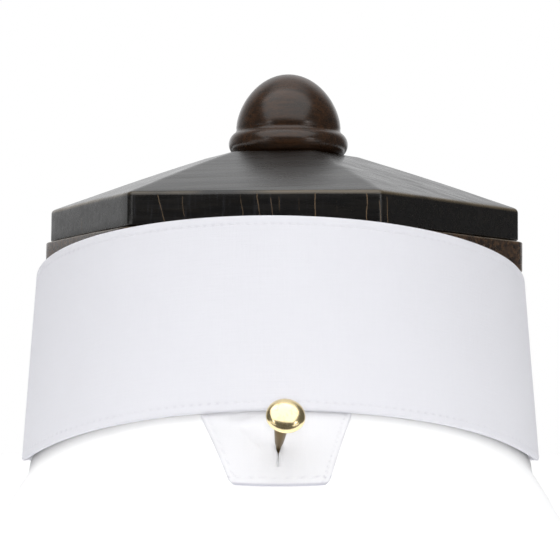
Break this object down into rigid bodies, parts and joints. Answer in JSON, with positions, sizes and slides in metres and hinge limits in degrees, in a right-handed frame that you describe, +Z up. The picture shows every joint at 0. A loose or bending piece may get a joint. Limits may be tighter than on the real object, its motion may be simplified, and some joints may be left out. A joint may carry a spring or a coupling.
{
  "type": "detachable shirt collar on neck dress form",
  "caption": "Tall white standing shirt collar with a back tab and brass studs, closed round a short cloth-covered neck form with a six-sided wooden cap and a turned finial.",
  "frame": {"origin": "on the floor, under the middle of the form's round base", "axes": "+Z up, -Y towards the back of the collar with its tab and stud, +X towards the right as the back is seen"},
  "size_m": [0.18, 0.18, 0.1352],
  "materials": {
    "white_cotton": "plain woven cotton, starched and pressed, matt",
    "form_cover": "smooth stretched cotton cover, matt",
    "stained_wood": "dark brown stain, rubbed satin polish",
    "brass": "polished"
  },
  "bodies": {
    "root": {"collar_band": "white_cotton", "collar_tab": "white_cotton", "back_stud": "brass", "front_stud": "brass", "form_neck": "form_cover", "form_shoulders": "form_cover", "cap_board": "stained_wood", "cap_roof": "stained_wood", "cap_finial": "stained_wood"}
  },
  "joints": []
}
